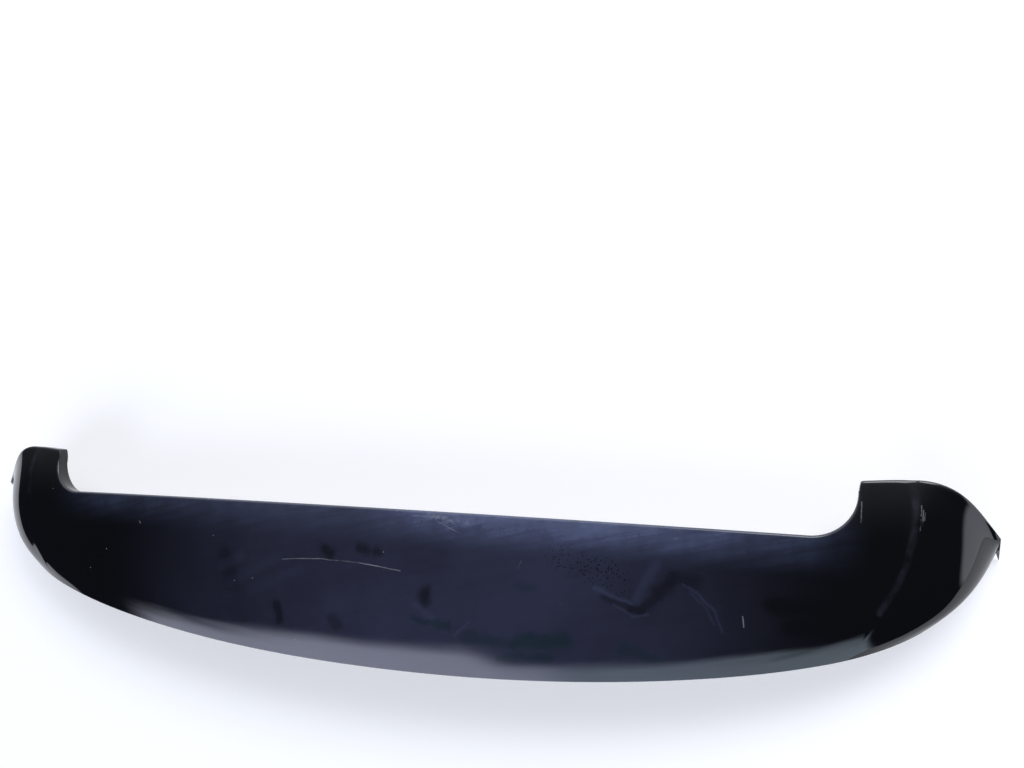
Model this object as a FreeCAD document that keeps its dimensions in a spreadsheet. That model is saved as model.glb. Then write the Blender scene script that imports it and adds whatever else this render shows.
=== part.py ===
"""Tailgate spoiler: a hollow two-shell wing with an arm at each end, studs, seals and clips.

Frame: the origin is the centre of the stud pattern on the plane where the studs' flanges seat. +X runs
along the wing to its right end, +Y points forwards to the arms, +Z points up out of the painted side.
Millimetres.
"""
import FreeCAD
import Part
import Sketcher

import math
import os

from FreeCAD import Vector

SIZES = (
    # Wing outline
    ("half_span", 578.0),
    ("lead_y", 70.0),
    ("lead_z", 33.0),
    ("wing_chord", 176.0),
    ("trail_drop", 21.0),
    ("tip_drop", 77.0),
    ("tip_height", 21.0),
    ("tip_setback", 6.0),
    ("arm_width", 117.0),
    ("arm_reach", 36.4),
    ("shoulder_share", 0.385),
    ("shoulder_width", 5.0),
    ("shoulder_drop", 22.0),
    ("shoulder_rise", 1.6),
    ("tip_point_out", 12.0),
    ("tip_point_back", 13.0),
    ("tip_point_down", 10.0),
    # Recess between the arms
    ("recess_y", 52.0),
    ("recess_corner_radius", 42.0),
    ("recess_edge_radius", 3.0),
    # Section of the wing
    ("crown", 6.0),
    ("trail_roll", 5.0),
    ("trail_roll_share", 0.22),
    ("end_swell", 7.5),
    ("nose_size", 7.0),
    ("front_depth", 11.0),
    ("belly_depth", 12.0),
    ("trail_edge", 3.0),
    ("upper_wall", 2.8),
    ("flange_wall", 3.0),
    ("lower_wall", 2.5),
    ("trail_lip", 10.0),
    # Studs, seals and clips
    ("stud_spacing_x", 520.0),
    ("stud_spacing_y", 50.0),
    ("stud_radius", 3.0),
    ("stud_length", 18.0),
    ("stud_root_radius", 4.0),
    ("stud_root_length", 7.0),
    ("stud_flange_radius", 8.0),
    ("stud_flange_height", 2.0),
    ("pad_radius", 16.0),
    ("pad_height", 12.0),
    ("seal_inner_radius", 9.0),
    ("seal_outer_radius", 15.0),
    ("seal_height", 4.0),
    ("stud_point_length", 1.2),
    ("clip_inset", 25.0),
    ("clip_y", 76.0),
    ("clip_z", -7.0),
    ("clip_pad_radius", 9.0),
    ("clip_pad_height", 11.0),
    ("clip_root_radius", 2.5),
    ("clip_root_length", 5.0),
    ("clip_flange_radius", 7.0),
    ("clip_flange_height", 1.5),
    ("clip_stem_radius", 3.0),
    ("clip_stem_length", 6.0),
    ("clip_head_radius", 4.6),
    ("clip_head_length", 8.0),
    ("clip_point_radius", 1.5),
)

# Fractions of a half span at which sections stand: the wing up to the shoulder line, then the end.
WING_STATIONS = (0.0, 0.16, 0.32, 0.48, 0.64, 0.78, 0.88, 0.95, 0.98, 1.0)
END_STATIONS = (0.0, 0.04, 0.1, 0.2, 0.34, 0.5, 0.66, 0.82, 0.93, 1.0)
# Share of the end that the hollow reaches, leaving the tip solid.
HOLLOW_END_SHARE = 0.82
# Share of the half span where the shoulder line meets the trailing edge, and its outward bow.
SHOULDER_TRAIL_SHARE = 0.78
SHOULDER_BOW = 14.0
# Fractions of the chord at which the rows of the outer skin, the underside and the hollow stand.
SKIN_ROWS = (0.1, 0.22, 0.38, 0.54, 0.68, 0.78, 0.86, 0.92, 0.96)
# Knot of the outer skin where its nose ends.
NOSE_KNOT = 4
UNDERSIDE_ROWS = (0.0, 0.1, 0.25, 0.4, 0.55, 0.7, 0.82, 0.92, 1.0)
HOLLOW_ROWS = (0.0, 0.12, 0.28, 0.45, 0.62, 0.76, 0.86, 0.94, 1.0)
# How fast the roll at the trailing edge fades out along the end.
ROLL_FADE = 5.0
# How much of the wing's depth is left at the tip.
TIP_FULLNESS = 0.25
TIP_FRONT_DEPTH = 6.0
# The nose takes at most this share of a chord, so that it shrinks with the end of the wing.
NOSE_SHARE = 0.07
# How far the hollow's tool passes below the underside, and how far the recess tools reach.
TOOL_OVERRUN = 4.0
TOOL_REACH = 120.0
# Size of the pointed tip's end as a share of the wing's end face.
TIP_POINT_SCALE = 0.12
# How closely the rounded recess edge is mended after rounding.
FIX_PRECISION = 0.001
FIX_TOLERANCE = 0.01
# Formulas for the recess between the arms and for the height of the stud pads' lower faces.
RECESS_HALF_WIDTH = "(sizes.half_span - sizes.arm_width)"
PAD_FACE = "sizes.stud_flange_height"


doc = FreeCAD.newDocument("tailgate_spoiler")


def make_sheet():
    """Put every driving dimension in the sheet under its own name."""
    cells = doc.addObject("Spreadsheet::Sheet", "sizes")
    for row, (name, value) in enumerate(SIZES, start=1):
        cells.set(f"A{row}", name)
        cells.set(f"B{row}", str(value))
        cells.setAlias(f"B{row}", name)
    doc.recompute()
    return cells


sheet = make_sheet()


def size(name):
    """Read one driving dimension from the sheet."""
    return float(sheet.get(name))


def bind(obj, formulas):
    """Bind properties of an object to formulas in the sheet's names."""
    for prop, formula in formulas.items():
        obj.setExpression(prop, formula)


def bezier(points):
    """Make a Bezier curve from its poles."""
    curve = Part.BezierCurve()
    curve.setPoles(points)
    return curve


def parameter_at_x(curve, x):
    """Find where a curve that runs outwards reaches a given x."""
    low, high = 0.0, 1.0
    for _ in range(50):
        middle = (low + high) / 2
        if curve.value(middle).x < x:
            low = middle
        else:
            high = middle
    return (low + high) / 2


def blend(start, end, share):
    """Go a share of the way from one value to another."""
    return start + (end - start) * share


def recess_half_width():
    """Half the width of the recess, which is what the arms leave of the span."""
    return size("half_span") - size("arm_width")


def shoulder_x():
    """Place of the shoulder line on the leading edge, between the recess and the tip."""
    return recess_half_width() + size("shoulder_share") * size("arm_width")


def front_rails():
    """Leading edge of the right half: the wing's line, then the arm's end behind the shoulder line."""
    reach, drop = size("arm_reach"), size("shoulder_drop")
    line_x, span = shoulder_x(), size("half_span")
    tip_fall = size("tip_drop") - size("tip_height")
    middle = Vector(0, size("lead_y"), size("lead_z"))
    wing = bezier([
        middle,
        middle + Vector(0.45 * line_x, 0, 0),
        middle + Vector(0.917 * line_x, reach, -0.5 * drop),
        middle + Vector(line_x, reach, -drop),
    ])
    start_x = line_x + size("shoulder_width")
    start_z = size("shoulder_rise") - drop
    end = bezier([
        middle + Vector(start_x, reach, start_z),
        middle + Vector(blend(start_x, span, 0.52), 0.97 * reach, start_z - 0.03 * tip_fall),
        middle + Vector(blend(start_x, span, 0.70), 0.55 * reach, -0.73 * tip_fall),
        middle + Vector(span, -size("tip_setback"), -tip_fall),
    ])
    return wing, end


def trailing_rail():
    """Trailing edge of the right half, level across the middle and sweeping forwards to the tip."""
    span, chord = size("half_span"), size("wing_chord")
    near, far = size("trail_drop"), size("tip_drop")
    middle = Vector(0, size("lead_y"), size("lead_z"))
    return bezier([
        middle + Vector(0, -chord, -near),
        middle + Vector(0.26 * span, -chord, -near),
        middle + Vector(0.52 * span, -0.954 * chord, -near - 0.1 * (far - near)),
        middle + Vector(0.885 * span, -0.71 * chord, -near - 0.2 * (far - near)),
        middle + Vector(0.91 * span, -0.592 * chord, -near - 0.735 * (far - near)),
        middle + Vector(span, -0.08 * chord, -far),
    ])


class Section:
    """One flat cut through the wing, from its leading edge to its trailing edge."""

    def __init__(self, lead, trail, end_share, bow):
        self.lead = lead
        self.chord = trail.sub(lead).Length
        self.back = trail.sub(lead).normalize()
        self.out = Vector(0, 0, 1)
        self.bow = bow
        self.end_share = end_share
        self.fullness = blend(1.0, TIP_FULLNESS, end_share)
        self.front_depth = blend(size("front_depth"), TIP_FRONT_DEPTH, end_share)

    def middle(self):
        """Middle of the straight line between the two edges."""
        return self.lead + self.back * (self.chord / 2)

    def turn(self, run):
        """Set the outward direction, square to the chord and to the run of the wing."""
        self.out = self.back.cross(run).normalize()

    def height(self, share):
        """Height of the painted face over the chord line: crown, swollen end and roll at the trailing edge."""
        scale = self.chord / size("wing_chord")
        crown = size("crown") * scale * 4 * share * (1 - share)
        swell = size("end_swell") * 4 * self.end_share * (1 - self.end_share) * 6.75 * share ** 2 * (1 - share)
        roll = size("trail_roll") * scale * max(0.0, 1 - ROLL_FADE * self.end_share) ** 2
        into_roll = max(0.0, (share - 1) / size("trail_roll_share") + 1)
        return crown + swell + roll * (share - into_roll ** 2)

    def depth(self, share):
        """Thickness of the wing below the painted face."""
        edge = size("trail_edge")
        belly = 4 * size("belly_depth") * self.fullness * share * (1 - share)
        return blend(self.front_depth, edge, share) + belly

    def point(self, along, above):
        """Point at a length along the chord and a height over it."""
        place = self.lead + self.back * along + self.out * above
        share = along / self.chord
        return place + Vector(self.bow * 4 * share * (1 - share), 0, 0)

    def skin(self):
        """Poles of the painted face: front wall, rounded nose and upper side."""
        nose = min(size("nose_size"), NOSE_SHARE * self.chord)
        wall = [
            self.point(0, -self.front_depth),
            self.point(0, -0.8 * self.front_depth),
            self.point(0, -nose),
            self.point(0, 0),
            self.point(nose, self.height(nose / self.chord)),
        ]
        top = [self.point(share * self.chord, self.height(share)) for share in SKIN_ROWS]
        return wall + top + [self.point(self.chord, 0)]

    def below(self, rows, depth):
        """Poles of a face under the painted one, at the depth that a function of the row gives."""
        return [self.point(row * self.chord, self.height(row) - depth(row)) for row in rows]


def make_sections():
    """Stand sections along the whole wing, from the left tip to the right tip."""
    wing, end = front_rails()
    trail = trailing_rail()
    shoulder_trail_x = SHOULDER_TRAIL_SHARE * size("half_span")
    turn_in = parameter_at_x(trail, shoulder_trail_x)
    right = []
    for share in WING_STATIONS:
        lead = wing.value(parameter_at_x(wing, share * shoulder_x()))
        back = trail.value(parameter_at_x(trail, share * shoulder_trail_x))
        right.append(Section(lead, back, 0.0, SHOULDER_BOW * share ** 4))
    for share in END_STATIONS:
        bow = SHOULDER_BOW * max(0.0, 1 - 2 * share) ** 2
        right.append(Section(end.value(share), trail.value(blend(turn_in, 1.0, share)), share, bow))
    for index, section in enumerate(right):
        before = right[max(index - 1, 0)].middle()
        after = right[min(index + 1, len(right) - 1)].middle()
        section.turn(Vector(1, 0, 0) if index == 0 else after.sub(before))
    return right


def mirrored(points):
    """Mirror points to the left side."""
    return [Vector(-point.x, point.y, point.z) for point in points]


def both_sides(right_rows):
    """Lay out rows of poles from the left tip to the right tip."""
    left_rows = [mirrored(row) for row in reversed(right_rows[1:])]
    return left_rows + right_rows


def spaced_knots(poles, degree):
    """Evenly spaced knots and their multiplicities for a row of poles that ends at its last poles."""
    inner = poles - degree - 1
    return list(range(inner + 2)), [degree + 1] + [1] * inner + [degree + 1]


def pole_faces(rows, splits):
    """Make smooth faces from a net of poles, split along the wing at the given knots."""
    degree = min(3, len(rows[0]) - 1)
    across_knots, across_counts = spaced_knots(len(rows), 3)
    along_knots, along_counts = spaced_knots(len(rows[0]), degree)
    surface = Part.BSplineSurface()
    surface.buildFromPolesMultsKnots(
        rows, across_counts, along_counts, across_knots, along_knots, False, False, 3, degree)
    bounds = [along_knots[0], *splits, along_knots[-1]]
    faces = []
    for low, high in zip(bounds, bounds[1:]):
        strip = surface.copy()
        strip.segment(across_knots[0], across_knots[-1], low, high)
        faces.append(strip.toShape())
    return faces


def end_edges(poles, splits):
    """Edges of a net's last row of poles, split at the given knots."""
    degree = min(3, len(poles) - 1)
    knots, counts = spaced_knots(len(poles), degree)
    curve = Part.BSplineCurve()
    curve.buildFromPolesMultsKnots(poles, counts, knots, False, degree)
    bounds = [knots[0], *splits, knots[-1]]
    return [curve.toShape(low, high) for low, high in zip(bounds, bounds[1:])]


def end_wire(nets, index):
    """Outline of one end of a tube of nets."""
    edges = []
    for rows, splits in nets:
        edges += end_edges(rows[index], splits)
    return Part.Wire(Part.__sortEdges__(edges))


def closed_solid(nets):
    """Close a tube of faces with a flat face at each end."""
    faces = []
    for rows, splits in nets:
        faces += pole_faces(rows, splits)
    faces += [Part.Face(end_wire(nets, index)) for index in (0, -1)]
    shell = Part.Shell(faces)
    shell.sewShape()
    solid = Part.Solid(shell)
    if solid.Volume < 0:
        solid.reverse()
    return solid


def feature(name, shape):
    """Add a shape made by code to the document."""
    obj = doc.addObject("Part::Feature", name)
    obj.Shape = shape
    return obj


def blank_nets(sections):
    """Painted face, underside and trailing edge of the solid wing."""
    skin = both_sides([section.skin() for section in sections])
    underside = both_sides([section.below(UNDERSIDE_ROWS, section.depth) for section in sections])
    edge = [[upper[-1], lower[-1]] for upper, lower in zip(skin, underside)]
    return [(skin, (NOSE_KNOT,)), (underside, ()), (edge, ())]


def hollow_nets(sections):
    """Roof, floor, front and rear of the space inside the wing."""
    roof, floor = [], []
    for section in sections:
        first = size("flange_wall") / section.chord
        last = 1 - size("trail_lip") / size("wing_chord") * max(1.0, 0.5 / section.fullness)
        rows = [blend(first, last, row) for row in HOLLOW_ROWS]
        roof.append(section.below(rows, lambda row: size("upper_wall")))
        floor.append(section.below(rows, lambda row, cut=section: cut.depth(row) + TOOL_OVERRUN))
    roof, floor = both_sides(roof), both_sides(floor)
    front = [[upper[0], lower[0]] for upper, lower in zip(roof, floor)]
    rear = [[upper[-1], lower[-1]] for upper, lower in zip(roof, floor)]
    return [(net, ()) for net in (roof, floor, front, rear)]


def panel_nets(sections):
    """Inner face, outer face and edges of the closing panel's sheet."""
    wall = size("lower_wall")
    outer = [section.below(UNDERSIDE_ROWS, section.depth) for section in sections]
    inner = []
    for section in sections:
        inner.append(section.below(UNDERSIDE_ROWS, lambda row, cut=section: cut.depth(row) - wall))
    outer, inner = both_sides(outer), both_sides(inner)
    front = [[upper[0], lower[0]] for upper, lower in zip(inner, outer)]
    rear = [[upper[-1], lower[-1]] for upper, lower in zip(inner, outer)]
    return [(net, ()) for net in (inner, outer, front, rear)]


def tip_point(section):
    """Taper the right end face to a point that leans outwards, backwards and down."""
    corners = [
        section.point(0, -0.2 * section.front_depth),
        section.point(NOSE_SHARE * section.chord, 0),
        section.point(0.5 * section.chord, section.height(0.5)),
        section.point(section.chord, 0),
        section.point(section.chord, -size("trail_edge")),
        section.point(0, -section.front_depth),
    ]
    base = Part.makePolygon(corners + corners[:1])
    lean = Vector(size("tip_point_out"), -size("tip_point_back"), -size("tip_point_down"))
    small = base.copy()
    small.scale(TIP_POINT_SCALE, base.BoundBox.Center)
    small.translate(lean)
    return Part.makeLoft([base, small], True, True)


def recess_sketch(name, grow):
    """Outline of the recess, grown on its three closed sides by a formula in the sheet's names."""
    half, back = recess_half_width(), size("recess_y")
    radius, front = size("recess_corner_radius"), size("lead_y") + TOOL_REACH
    up = Vector(0, 0, 1)
    left_circle = Part.Circle(Vector(radius - half, back + radius, 0), up, radius)
    right_circle = Part.Circle(Vector(half - radius, back + radius, 0), up, radius)
    outline = [
        Part.LineSegment(Vector(-half, front, 0), Vector(-half, back + radius, 0)),
        Part.ArcOfCircle(left_circle, math.pi, 1.5 * math.pi),
        Part.LineSegment(Vector(radius - half, back, 0), Vector(half - radius, back, 0)),
        Part.ArcOfCircle(right_circle, 1.5 * math.pi, 2 * math.pi),
        Part.LineSegment(Vector(half, back + radius, 0), Vector(half, front, 0)),
        Part.LineSegment(Vector(half, front, 0), Vector(-half, front, 0)),
    ]
    sketch = doc.addObject("Sketcher::SketchObject", name)
    left_side, left_arc, rear_side, right_arc, right_side, front_side = sketch.addGeometry(outline)
    first, last, origin, upright_axis = 1, 2, -1, -2
    sketch.addConstraint([
        Sketcher.Constraint("Tangent", left_side, last, left_arc, first),
        Sketcher.Constraint("Tangent", left_arc, last, rear_side, first),
        Sketcher.Constraint("Tangent", rear_side, last, right_arc, first),
        Sketcher.Constraint("Tangent", right_arc, last, right_side, first),
        Sketcher.Constraint("Coincident", right_side, last, front_side, first),
        Sketcher.Constraint("Coincident", front_side, last, left_side, first),
        Sketcher.Constraint("Vertical", left_side),
        Sketcher.Constraint("Vertical", right_side),
        Sketcher.Constraint("Horizontal", rear_side),
        Sketcher.Constraint("Equal", left_arc, right_arc),
        Sketcher.Constraint("Symmetric", left_side, first, right_side, last, upright_axis),
    ])
    width = Sketcher.Constraint("Distance", front_side, 2 * half)
    rear = Sketcher.Constraint("DistanceY", origin, first, rear_side, first, back)
    reach = Sketcher.Constraint("DistanceY", origin, first, front_side, first, front)
    corner = Sketcher.Constraint("Radius", left_arc, radius)
    driven = (
        ("width", width, f"2 * ({RECESS_HALF_WIDTH} + {grow})"),
        ("rear", rear, f"sizes.recess_y - {grow}"),
        ("reach", reach, f"sizes.lead_y + {TOOL_REACH}"),
        ("corner", corner, f"sizes.recess_corner_radius + {grow}"),
    )
    for word, constraint, formula in driven:
        sketch.renameConstraint(sketch.addConstraint(constraint), word)
        sketch.setExpression(f"Constraints.{word}", formula)
    return sketch


def recess_tool(name, grow):
    """Upright block with the outline of the recess."""
    tool = doc.addObject("Part::Extrusion", name)
    tool.Base = recess_sketch(f"{name}_outline", grow)
    tool.DirMode = "Normal"
    tool.LengthFwd = TOOL_REACH
    tool.LengthRev = TOOL_REACH
    tool.Solid = True
    return tool


def cut(name, base, tool):
    """Cut one object from another."""
    obj = doc.addObject("Part::Cut", name)
    obj.Base = base
    obj.Tool = tool
    return obj


def fuse(name, pieces):
    """Fuse several objects into one."""
    obj = doc.addObject("Part::MultiFuse", name)
    obj.Shapes = pieces
    return obj


def group(name, pieces):
    """Keep several separate solids together as one sub-part."""
    obj = doc.addObject("Part::Compound", name)
    obj.Links = pieces
    return obj


def place(obj, spot, lift):
    """Place an object at a spot given as formulas for x and y, lifted by a formula for z."""
    across, along = spot
    bind(obj, {"Placement.Base.x": across, "Placement.Base.y": along, "Placement.Base.z": lift})


def cylinder(name, radius, height, spot, lift):
    """Upright cylinder bound to formulas."""
    obj = doc.addObject("Part::Cylinder", name)
    bind(obj, {"Radius": radius, "Height": height})
    place(obj, spot, lift)
    return obj


def cone(name, low_radius, high_radius, height, spot, lift):
    """Upright cone bound to formulas."""
    obj = doc.addObject("Part::Cone", name)
    bind(obj, {"Radius1": low_radius, "Radius2": high_radius, "Height": height})
    place(obj, spot, lift)
    return obj


def faces_down(face):
    """Tell the underside from the painted faces."""
    low_across, high_across, low_along, high_along = face.ParameterRange
    return face.normalAt((low_across + high_across) / 2, (low_along + high_along) / 2).z < -0.5


def recess_edges(shape):
    """Upper edges of the recess: those between one of its upright walls and a painted face."""
    half, back = recess_half_width(), size("recess_y")
    radius = size("recess_corner_radius")
    corner = Vector(half - radius, back + radius, 0)
    chosen = []
    for edge in shape.Edges:
        point = edge.valueAt((edge.FirstParameter + edge.LastParameter) / 2)
        right = Vector(abs(point.x), point.y, 0)
        walls = (point.y - back, right.x - half, right.sub(corner).Length - radius)
        on_wall = min(abs(gap) for gap in walls) < 0.01
        faces = shape.ancestorsOfType(edge, Part.Face)
        smooth = [face for face in faces if face.Surface.TypeId == "Part::GeomBSplineSurface"]
        if on_wall and len(smooth) == 1 and not faces_down(smooth[0]):
            chosen.append(edge)
    return chosen


def make_upper_shell(sections, hollow):
    """Painted shell: the wing with its recess, rounded recess edge, hollow and pointed tips."""
    blank = feature("wing_blank", closed_solid(blank_nets(sections)))
    recessed = cut("wing_recessed", blank, recess_tool("recess", "0"))
    doc.recompute()
    shape = recessed.Shape.makeFillet(size("recess_edge_radius"), recess_edges(recessed.Shape))
    shape.fix(FIX_PRECISION, FIX_PRECISION, FIX_TOLERANCE)
    opened = cut("wing_opened", feature("wing_rounded", shape), hollow)
    point = tip_point(sections[-1])
    right_point = feature("right_point", point)
    left_point = feature("left_point", point.mirror(Vector(0, 0, 0), Vector(1, 0, 0)))
    return fuse("upper_shell", [opened, left_point, right_point])


def stud_spots():
    """Formulas for the four places of the stud pattern."""
    spots = []
    for across in ("-0.5", "0.5"):
        for along in ("-0.5", "0.5"):
            spots.append((f"{across} * sizes.stud_spacing_x", f"{along} * sizes.stud_spacing_y"))
    return spots


def clip_spots():
    """Formulas for the two places of the clips."""
    across = f"({RECESS_HALF_WIDTH} + sizes.clip_inset)"
    return [(f"{side} * {across}", "sizes.clip_y") for side in ("-1", "1")]


def make_lower_shell(sections, hollow):
    """Closing panel: a sheet inside the flanges of the upper shell, with pads bored for studs and clips."""
    panel = doc.addObject("Part::Common", "panel")
    panel.Base = hollow
    panel.Tool = feature("panel_sheet", closed_solid(panel_nets(sections)))
    solids, bores = [panel], []
    for number, spot in enumerate(stud_spots(), start=1):
        solids.append(cylinder(
            f"stud_pad_{number}", "sizes.pad_radius", "sizes.pad_height", spot, PAD_FACE))
        bores.append(cylinder(
            f"stud_bore_{number}", "sizes.stud_root_radius", "sizes.stud_root_length", spot, PAD_FACE))
    for number, spot in enumerate(clip_spots(), start=1):
        solids.append(cylinder(
            f"clip_pad_{number}", "sizes.clip_pad_radius", "sizes.clip_pad_height", spot, "sizes.clip_z"))
        bores.append(cylinder(
            f"clip_bore_{number}", "sizes.clip_root_radius", "sizes.clip_root_length", spot, "sizes.clip_z"))
    return cut("lower_shell", fuse("padded_panel", solids), fuse("panel_bores", bores))


def make_stud(number, spot):
    """Stud with a root in its pad, a flange on the pad's face and a pointed shank."""
    shank_end = "-sizes.stud_length"
    return fuse(f"stud_{number}", [
        cylinder(f"stud_root_{number}", "sizes.stud_root_radius", "sizes.stud_root_length", spot, PAD_FACE),
        cylinder(f"stud_flange_{number}", "sizes.stud_flange_radius", "sizes.stud_flange_height", spot, "0"),
        cylinder(f"stud_shank_{number}", "sizes.stud_radius", "sizes.stud_length - sizes.stud_point_length",
                 spot, f"{shank_end} + sizes.stud_point_length"),
        cone(f"stud_point_{number}", "sizes.stud_radius - 0.6 * sizes.stud_point_length", "sizes.stud_radius",
             "sizes.stud_point_length", spot, shank_end),
    ])


def make_seal(number, spot):
    """Soft ring round a stud, against its pad."""
    low = f"{PAD_FACE} - sizes.seal_height"
    body = cylinder(f"seal_body_{number}", "sizes.seal_outer_radius", "sizes.seal_height", spot, low)
    hole = cylinder(f"seal_hole_{number}", "sizes.seal_inner_radius", "sizes.seal_height", spot, low)
    return cut(f"seal_{number}", body, hole)


def make_clip(number, spot):
    """Push-in clip with a root in its pad, a flange and a barbed head."""
    flange_low = "sizes.clip_z - sizes.clip_flange_height"
    stem_low = f"{flange_low} - sizes.clip_stem_length"
    return fuse(f"clip_{number}", [
        cylinder(f"clip_root_{number}", "sizes.clip_root_radius", "sizes.clip_root_length", spot,
                 "sizes.clip_z"),
        cylinder(f"clip_flange_{number}", "sizes.clip_flange_radius", "sizes.clip_flange_height", spot,
                 flange_low),
        cylinder(f"clip_stem_{number}", "sizes.clip_stem_radius", "sizes.clip_stem_length", spot, stem_low),
        cone(f"clip_head_{number}", "sizes.clip_point_radius", "sizes.clip_head_radius",
             "sizes.clip_head_length", spot, f"{stem_low} - sizes.clip_head_length"),
    ])


def numbered(maker, spots):
    """Make one piece at each spot."""
    return [maker(number, spot) for number, spot in enumerate(spots, start=1)]


def check(sub_parts):
    """Stop if any object failed or any sub-part has no sound shape."""
    for obj in doc.Objects:
        if "Invalid" in obj.State or "Error" in obj.State:
            raise RuntimeError(f"{obj.Label} failed: {obj.State}")
    for obj in sub_parts:
        if obj.Shape.isNull() or not obj.Shape.isValid():
            raise RuntimeError(f"{obj.Label} has no valid shape")


def main():
    """Build every sub-part and write one file for each."""
    sections = make_sections()
    hollow_sections = [section for section in sections if section.end_share <= HOLLOW_END_SHARE]
    hollow_blank = feature("hollow_blank", closed_solid(hollow_nets(hollow_sections)))
    hollow = cut("hollow", hollow_blank, recess_tool("inner_recess", "sizes.flange_wall"))
    sub_parts = [
        make_upper_shell(sections, hollow),
        make_lower_shell(sections, hollow),
        group("mounting_studs", numbered(make_stud, stud_spots())),
        group("stud_seals", numbered(make_seal, stud_spots())),
        group("arm_clips", numbered(make_clip, clip_spots())),
    ]
    doc.recompute()
    check(sub_parts)
    os.makedirs("parts", exist_ok=True)
    for obj in sub_parts:
        obj.Shape.exportStep(f"parts/{obj.Label}.step")
        box = obj.Shape.BoundBox
        print(obj.Label, len(obj.Shape.Solids), round(obj.Shape.Volume / 1000, 1), "cm3", box)


main()
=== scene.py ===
"""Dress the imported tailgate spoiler: painted skin, moulded underside, studs, seals, clips and a pale stage."""

import logging
import math
from dataclasses import dataclass
from enum import Enum
from typing import Any

import bmesh
import bpy
import numpy as np
from mathutils import Matrix, Vector


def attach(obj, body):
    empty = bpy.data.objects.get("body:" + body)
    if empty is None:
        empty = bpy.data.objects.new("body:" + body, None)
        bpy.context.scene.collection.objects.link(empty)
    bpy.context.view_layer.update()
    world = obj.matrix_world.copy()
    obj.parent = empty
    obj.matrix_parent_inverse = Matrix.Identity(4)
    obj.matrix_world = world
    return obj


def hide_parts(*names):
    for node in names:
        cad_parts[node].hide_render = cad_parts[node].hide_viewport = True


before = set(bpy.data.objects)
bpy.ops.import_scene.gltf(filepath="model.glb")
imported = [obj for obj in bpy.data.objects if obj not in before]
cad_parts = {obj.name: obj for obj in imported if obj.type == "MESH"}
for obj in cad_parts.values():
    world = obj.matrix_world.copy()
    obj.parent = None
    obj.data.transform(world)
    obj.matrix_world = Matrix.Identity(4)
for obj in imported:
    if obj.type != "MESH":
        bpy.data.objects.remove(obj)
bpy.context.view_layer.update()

logging.basicConfig(level=logging.INFO, format="%(message)s")
log = logging.getLogger("spoiler")

Socket = Any
Array = np.ndarray
Colour = tuple[float, float, float, float]

MM = 0.001
HALVINGS = 40


def blend(start: Any, end: Any, share: Any) -> Any:
    """Go a share of the way from one value to another."""
    return start + (end - start) * share


def bezier(poles: list[tuple[float, float, float]], share: float) -> Array:
    """Point of a Bezier curve at a share of its run."""
    points = np.array(poles, float)
    while len(points) > 1:
        points = blend(points[:-1], points[1:], share)
    return points[0]


def share_at_x(poles: list[tuple[float, float, float]], x: float) -> float:
    """Find where a curve that runs outwards reaches a given x."""
    low, high = 0.0, 1.0
    for _ in range(HALVINGS):
        middle = (low + high) / 2
        low, high = (middle, high) if bezier(poles, middle)[0] < x else (low, middle)
    return (low + high) / 2


class Slot(Enum):
    """Slot names, as in the spoiler's record, of the pieces that are made here; nothing in the script uses them.
    """

    PAINT = "gloss_paint"
    STEEL = "stud_steel"


class Nodes:
    """Short way to add and join the nodes of one shader tree."""

    def __init__(self, tree: bpy.types.NodeTree) -> None:
        """Clear the tree and keep it."""
        self.tree = tree
        tree.nodes.clear()

    def add(self, kind: str, inputs: dict[Any, Any] | None = None, **settings: Any) -> bpy.types.Node:
        """Add one node.

        Args:
            kind: Node type without its "ShaderNode" prefix.
            inputs: Sockets by name or number, each with a value or a socket to join.
            settings: Properties of the node.

        Returns:
            The new node.
        """
        node = self.tree.nodes.new("ShaderNode" + kind)
        for name, value in settings.items():
            setattr(node, name, value)
        for name, value in (inputs or {}).items():
            if isinstance(value, bpy.types.NodeSocket):
                self.tree.links.new(value, node.inputs[name])
            else:
                node.inputs[name].default_value = value
        return node

    def math(self, operation: str, first: Socket, second: Socket = 0.0, clamp: bool = False) -> Socket:
        """Add a Math node and return its result."""
        node = self.add("Math", {0: first, 1: second}, operation=operation, use_clamp=clamp)
        return node.outputs[0]

    def ease(self, value: Socket, low: float, high: float) -> Socket:
        """Rise smoothly from 0 at low to 1 at high."""
        node = self.add("MapRange", {0: value, 1: low, 2: high}, interpolation_type="SMOOTHSTEP")
        return node.outputs[0]

    def mix(self, share: Socket, first: Socket, second: Socket) -> Socket:
        """Mix two colours by a share."""
        node = self.add("Mix", {0: share, 6: first, 7: second}, data_type="RGBA")
        return node.outputs[2]

    def vector(self, operation: str, first: Socket, second: Socket) -> Any:
        """Add a Vector Math node and return its outputs."""
        return self.add("VectorMath", {0: first, 1: second}, operation=operation).outputs

    def product(self, first: Socket, *others: Socket) -> Socket:
        """Multiply values one after another."""
        for other in others:
            first = self.math("MULTIPLY", first, other)
        return first

    def spread(self, value: Socket, start: float, end: float, low: float = 0.0, high: float = 1.0) -> Socket:
        """Go from start to end while a value goes from low to high."""
        return self.add("MapRange", {0: value, 1: low, 2: high, 3: start, 4: end}).outputs[0]

    def noise(self, place: Socket, scale: float, detail: float, roughness: float = 0.5) -> Any:
        """Add a noise texture and return its outputs."""
        node = self.add("TexNoise", {"Vector": place, "Scale": scale, "Detail": detail, "Roughness": roughness})
        return node.outputs


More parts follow.
